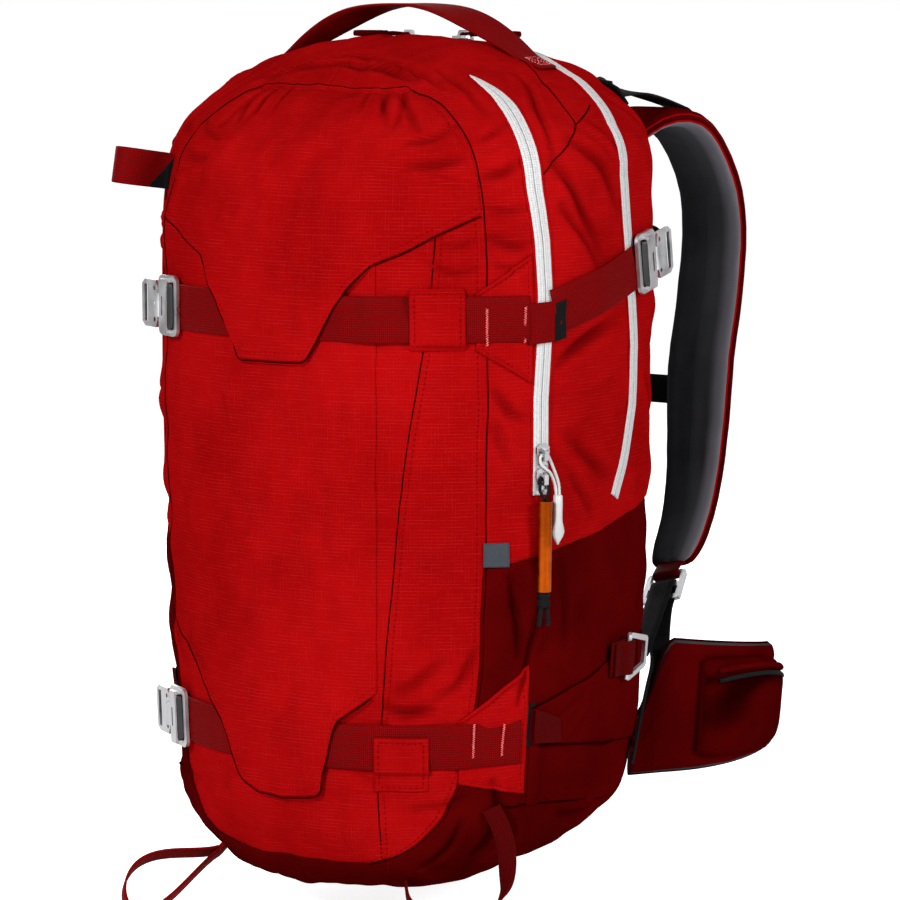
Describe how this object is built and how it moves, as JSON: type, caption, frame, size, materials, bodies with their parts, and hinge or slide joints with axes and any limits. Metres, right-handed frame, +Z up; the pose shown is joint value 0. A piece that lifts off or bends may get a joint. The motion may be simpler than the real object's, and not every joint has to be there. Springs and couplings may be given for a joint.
{
  "type": "ski touring backpack",
  "caption": "Rounded ski backpack with zipped front and main compartments, hook-buckle carrying straps, padded shoulder harness and hip belt with pockets",
  "frame": {"origin": "Middle of the lumbar pad's crown, where the pack bears on the wearer's back", "axes": "+X to the right when facing the front panel, -Y out of the front panel away from the wearer, +Y towards the wearer, +Z up the back"},
  "size_m": [0.3748, 0.4651, 0.5738],
  "materials": {
    "red_ripstop": "coated ripstop weave, satin",
    "dark_red_fabric": "coarse woven, matt",
    "pad_fabric": "woven cover over foam, matt",
    "back_mesh": "spacer mesh",
    "inner_fabric": "plain weave",
    "frame_plastic": "extruded sheet",
    "aluminium": "tumbled, satin",
    "zip_tape": "coated tape",
    "red_webbing": "herringbone webbing",
    "black_webbing": "ribbed webbing",
    "grey_label": "woven tab, plain",
    "black_plastic": "moulded, fine grain",
    "slider_metal": "lacquered",
    "orange_anodised": "anodised, satin",
    "black_cord": "braided",
    "white_plastic": "moulded",
    "dark_red_cord": "braided"
  },
  "bodies": {
    "bag": {"front_panel": "red_ripstop", "hood": "red_ripstop", "base_panel": "dark_red_fabric", "front_gussets": "red_ripstop", "main_gussets": "red_ripstop", "rear_gussets": "red_ripstop", "lower_side_panels": "dark_red_fabric", "back_panel": "back_mesh", "tool_divider": "inner_fabric", "frame_sheet": "frame_plastic", "frame_stays": "aluminium", "back_pads": "back_mesh", "lumbar_pad": "back_mesh", "front_zip": "zip_tape", "main_zip": "zip_tape", "upper_front_strap": "red_webbing", "lower_front_strap": "red_webbing", "right_side_strap": "red_webbing", "upper_strap_cover": "red_ripstop", "lower_strap_cover": "red_ripstop", "strap_keepers": "red_ripstop", "strap_tabs": "red_ripstop", "catch_plates": "aluminium", "webbing_tabs": "black_webbing", "load_lifters": "black_webbing", "lower_webbings": "black_webbing", "hip_fins": "dark_red_fabric", "side_label": "grey_label", "grab_handle": "red_webbing", "right_tool_loop": "red_webbing"},
    "orange_slider": {"orange_slider": "slider_metal"},
    "white_slider": {"white_slider": "slider_metal"},
    "tube": {"tube_pull": "orange_anodised", "tube_cord": "black_cord"},
    "moulded_pull": {"moulded_pull": "white_plastic"},
    "right_top_slider": {"right_top_slider": "slider_metal"},
    "left_top_slider": {"left_top_slider": "slider_metal"},
    "right_top_pull": {"right_top_pull": "dark_red_cord"},
    "left_top_pull": {"left_top_pull": "dark_red_cord"},
    "upper_left_buckle": {"upper_left_frame": "aluminium"},
    "lower_left_buckle": {"lower_left_frame": "aluminium"},
    "rear_right_buckle": {"rear_right_frame": "aluminium"},
    "side_ring": {"side_ring": "aluminium"},
    "harness": {"right_shoulder_pad": "pad_fabric", "left_shoulder_pad": "pad_fabric", "sternum_rails": "black_plastic"},
    "sternum": {"sternum_strap": "black_webbing", "sternum_buckle": "black_plastic"},
    "right_ladder_lock": {"right_ladder_lock": "aluminium"},
    "left_ladder_lock": {"left_ladder_lock": "aluminium"},
    "right_wing": {"right_hip_wing": "pad_fabric", "right_hip_pocket": "dark_red_fabric", "right_hip_webbing": "black_webbing", "hip_buckle_tongue": "black_plastic"},
    "left_wing": {"left_hip_wing": "pad_fabric", "left_hip_pocket": "dark_red_fabric", "left_hip_webbing": "black_webbing", "hip_buckle_socket": "black_plastic"},
    "left_tool_loop": {"left_tool_loop": "red_webbing"},
    "ski_loop": {"ski_loop": "red_webbing"}
  },
  "joints": [
    {"name": "orange_slider_slide", "type": "slide", "parent": "bag", "child": "orange_slider", "axis": [0.0183, -0.0101, 0.9998], "range_m": [0, 0.05]},
    {"name": "tube_swing", "type": "hinge", "parent": "orange_slider", "child": "tube", "pos_m": [0.14196, -0.18543, 0.15337], "axis": [-0.4838, -0.8752, 0], "range_deg": [0, 100]},
    {"name": "white_slider_slide", "type": "slide", "parent": "bag", "child": "white_slider", "axis": [0.0183, -0.0101, 0.9998], "range_m": [0, 0.05]},
    {"name": "moulded_pull_swing", "type": "hinge", "parent": "white_slider", "child": "moulded_pull", "pos_m": [0.1422, -0.18555, 0.16838], "axis": [-0.4856, -0.8742, 0], "range_deg": [0, 100]},
    {"name": "right_top_slider_slide", "type": "slide", "parent": "bag", "child": "right_top_slider", "axis": [1, 0, 0], "range_m": [0, 0.04]},
    {"name": "left_top_slider_slide", "type": "slide", "parent": "bag", "child": "left_top_slider", "axis": [-1, 0, 0], "range_m": [0, 0.04]},
    {"name": "right_top_pull_swing", "type": "hinge", "parent": "right_top_slider", "child": "right_top_pull", "pos_m": [0.02041, -0.07207, 0.42003], "axis": [0, -0.9775, 0.2107], "range_deg": [0, 115]},
    {"name": "left_top_pull_swing", "type": "hinge", "parent": "left_top_slider", "child": "left_top_pull", "pos_m": [-0.02041, -0.07207, 0.42003], "axis": [0, 0.9775, -0.2107], "range_deg": [0, 115]},
    {"name": "upper_left_buckle_tilt", "type": "hinge", "parent": "bag", "child": "upper_left_buckle", "pos_m": [-0.11199, -0.22455, 0.252], "axis": [0, 0, -1], "range_deg": [0, 35], "stiffness_Nm_per_rad": 0.05, "deforming": ["upper_front_strap"]},
    {"name": "lower_left_buckle_tilt", "type": "hinge", "parent": "bag", "child": "lower_left_buckle", "pos_m": [-0.10919, -0.21998, -0.01107], "axis": [0.0194, 0.0298, -0.9994], "range_deg": [0, 35], "stiffness_Nm_per_rad": 0.05, "deforming": ["lower_front_strap"]},
    {"name": "rear_right_buckle_tilt", "type": "hinge", "parent": "bag", "child": "rear_right_buckle", "pos_m": [0.1587, -0.07266, 0.28207], "axis": [0.0021, -0.1736, 0.9848], "range_deg": [0, 35], "stiffness_Nm_per_rad": 0.05, "deforming": ["right_side_strap"]},
    {"name": "side_ring_swing", "type": "hinge", "parent": "bag", "child": "side_ring", "pos_m": [0.15351, -0.09415, 0.02975], "axis": [-0.089, -0.0013, -0.996], "range_deg": [0, 60]},
    {"name": "harness_swing", "type": "hinge", "parent": "bag", "child": "harness", "pos_m": [0, -0.0155, 0.32036], "axis": [1, 0, 0], "range_deg": [-3, 12], "stiffness_Nm_per_rad": 8, "deforming": ["lower_webbings", "load_lifters"]},
    {"name": "sternum_slide", "type": "slide", "parent": "harness", "child": "sternum", "axis": [0, 0.3331, 0.9429], "range_m": [-0.022, 0.022]},
    {"name": "right_ladder_lock_tilt", "type": "hinge", "parent": "harness", "child": "right_ladder_lock", "pos_m": [0.11436, 0.0399, 0.05977], "axis": [0.9673, -0.0592, 0.2467], "range_deg": [0, 35], "stiffness_Nm_per_rad": 0.02},
    {"name": "left_ladder_lock_tilt", "type": "hinge", "parent": "harness", "child": "left_ladder_lock", "pos_m": [-0.11436, 0.0399, 0.05977], "axis": [0.9673, 0.0592, -0.2467], "range_deg": [0, 35], "stiffness_Nm_per_rad": 0.02},
    {"name": "right_wing_swing", "type": "hinge", "parent": "bag", "child": "right_wing", "pos_m": [0.12221, -0.03012, -0.01564], "axis": [0, 0, -1], "range_deg": [-6, 30], "stiffness_Nm_per_rad": 1.2},
    {"name": "left_wing_swing", "type": "hinge", "parent": "bag", "child": "left_wing", "pos_m": [-0.12221, -0.03012, -0.01564], "axis": [0, 0, 1], "range_deg": [-6, 30], "stiffness_Nm_per_rad": 1.2},
    {"name": "left_tool_loop_swing", "type": "hinge", "parent": "bag", "child": "left_tool_loop", "pos_m": [-0.07718, -0.21568, -0.09834], "axis": [-0.7238, 0.69, 0], "range_deg": [-20, 25], "stiffness_Nm_per_rad": 0.03},
    {"name": "ski_loop_swing", "type": "hinge", "parent": "bag", "child": "ski_loop", "pos_m": [-0.12483, -0.19908, 0.33476], "axis": [0, 0, 1], "range_deg": [-22, 22], "stiffness_Nm_per_rad": 0.03}
  ],
  "couplings": [
    {"joint": "white_slider_slide", "follows": "orange_slider_slide", "ratio": 1}
  ]
}
